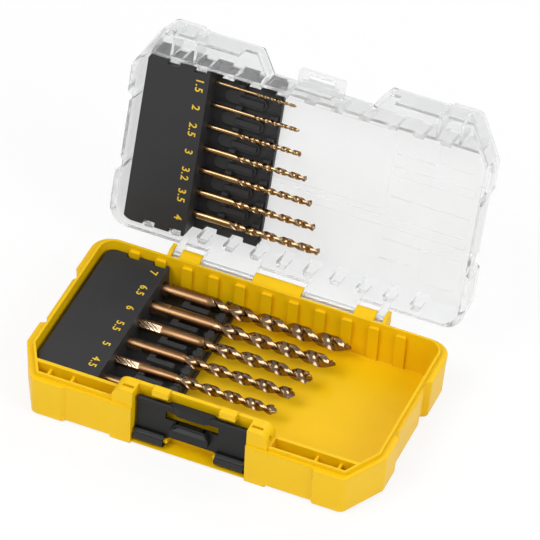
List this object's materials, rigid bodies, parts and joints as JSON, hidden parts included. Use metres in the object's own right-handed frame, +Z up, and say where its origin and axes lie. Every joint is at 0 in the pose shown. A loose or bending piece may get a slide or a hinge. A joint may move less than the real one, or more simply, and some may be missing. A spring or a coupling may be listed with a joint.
{
  "type": "drill bit case",
  "caption": "Hinged drill bit case with a yellow tray, clear lid, flip latch, two lift-out racks and twist drills.",
  "frame": {"origin": "middle of the tray's underside", "axes": "+X along the case's length, +Y from the latch to the hinge, +Z up"},
  "size_m": [0.1796, 0.1592, 0.1263],
  "materials": {
    "tray": "satin",
    "lid": "clear, polished",
    "rack": "satin",
    "drill": "bronze tempered",
    "pin": "drawn"
  },
  "bodies": {
    "base": {"base_tray": "tray", "hinge_pin": "pin"},
    "lid": {"lid_shell": "lid"},
    "latch": {"latch": "rack"},
    "base_rack": {"base_bit_rack": "rack"},
    "lid_rack": {"lid_bit_rack": "rack"},
    "bit_7_0": {"drill_7_0": "drill"},
    "bit_6_5": {"drill_6_5": "drill"},
    "bit_6_0": {"drill_6_0": "drill"},
    "bit_5_5": {"drill_5_5": "drill"},
    "bit_5_0": {"drill_5_0": "drill"},
    "bit_4_5": {"drill_4_5": "drill"},
    "bit_4_0": {"drill_4_0": "drill"},
    "bit_3_5": {"drill_3_5": "drill"},
    "bit_3_2": {"drill_3_2": "drill"},
    "bit_3_0": {"drill_3_0": "drill"},
    "bit_2_5": {"drill_2_5": "drill"},
    "bit_2_0": {"drill_2_0": "drill"},
    "bit_1_5": {"drill_1_5": "drill"}
  },
  "joints": [
    {"name": "lid_hinge", "type": "hinge", "parent": "base", "child": "lid", "pos_m": [0, 0.0576, 0.0204], "axis": [-1, 0, 0], "range_deg": [-105.3, 0]},
    {"name": "latch_pivot", "type": "hinge", "parent": "base", "child": "latch", "pos_m": [0, -0.0464, 0.005], "axis": [1, 0, 0], "range_deg": [0, 75]},
    {"name": "base_rack_lift", "type": "slide", "parent": "base", "child": "base_rack", "axis": [0, 0, 1], "range_m": [0, 0.015]},
    {"name": "lid_rack_lift", "type": "slide", "parent": "lid", "child": "lid_rack", "axis": [0, -0.9646, 0.2639], "range_m": [0, 0.012]},
    {"name": "bit_7_0_pull", "type": "slide", "parent": "base_rack", "child": "bit_7_0", "axis": [1, 0, 0], "range_m": [0, 0.0145]},
    {"name": "bit_6_5_pull", "type": "slide", "parent": "base_rack", "child": "bit_6_5", "axis": [1, 0, 0], "range_m": [0, 0.0089]},
    {"name": "bit_6_0_pull", "type": "slide", "parent": "base_rack", "child": "bit_6_0", "axis": [1, 0, 0], "range_m": [0, 0.007]},
    {"name": "bit_5_5_pull", "type": "slide", "parent": "base_rack", "child": "bit_5_5", "axis": [1, 0, 0], "range_m": [0, 0.0101]},
    {"name": "bit_5_0_pull", "type": "slide", "parent": "base_rack", "child": "bit_5_0", "axis": [1, 0, 0], "range_m": [0, 0.0065]},
    {"name": "bit_4_5_pull", "type": "slide", "parent": "base_rack", "child": "bit_4_5", "axis": [1, 0, 0], "range_m": [0, 0.008]},
    {"name": "bit_4_0_pull", "type": "slide", "parent": "lid_rack", "child": "bit_4_0", "axis": [1, 0, 0], "range_m": [0, 0.0116]},
    {"name": "bit_3_5_pull", "type": "slide", "parent": "lid_rack", "child": "bit_3_5", "axis": [1, 0, 0], "range_m": [0, 0.0108]},
    {"name": "bit_3_2_pull", "type": "slide", "parent": "lid_rack", "child": "bit_3_2", "axis": [1, 0, 0], "range_m": [0, 0.0094]},
    {"name": "bit_3_0_pull", "type": "slide", "parent": "lid_rack", "child": "bit_3_0", "axis": [1, 0, 0], "range_m": [0, 0.01]},
    {"name": "bit_2_5_pull", "type": "slide", "parent": "lid_rack", "child": "bit_2_5", "axis": [1, 0, 0], "range_m": [0, 0.0106]},
    {"name": "bit_2_0_pull", "type": "slide", "parent": "lid_rack", "child": "bit_2_0", "axis": [1, 0, 0], "range_m": [0, 0.0055]},
    {"name": "bit_1_5_pull", "type": "slide", "parent": "lid_rack", "child": "bit_1_5", "axis": [1, 0, 0], "range_m": [0, 0.0055]}
  ]
}
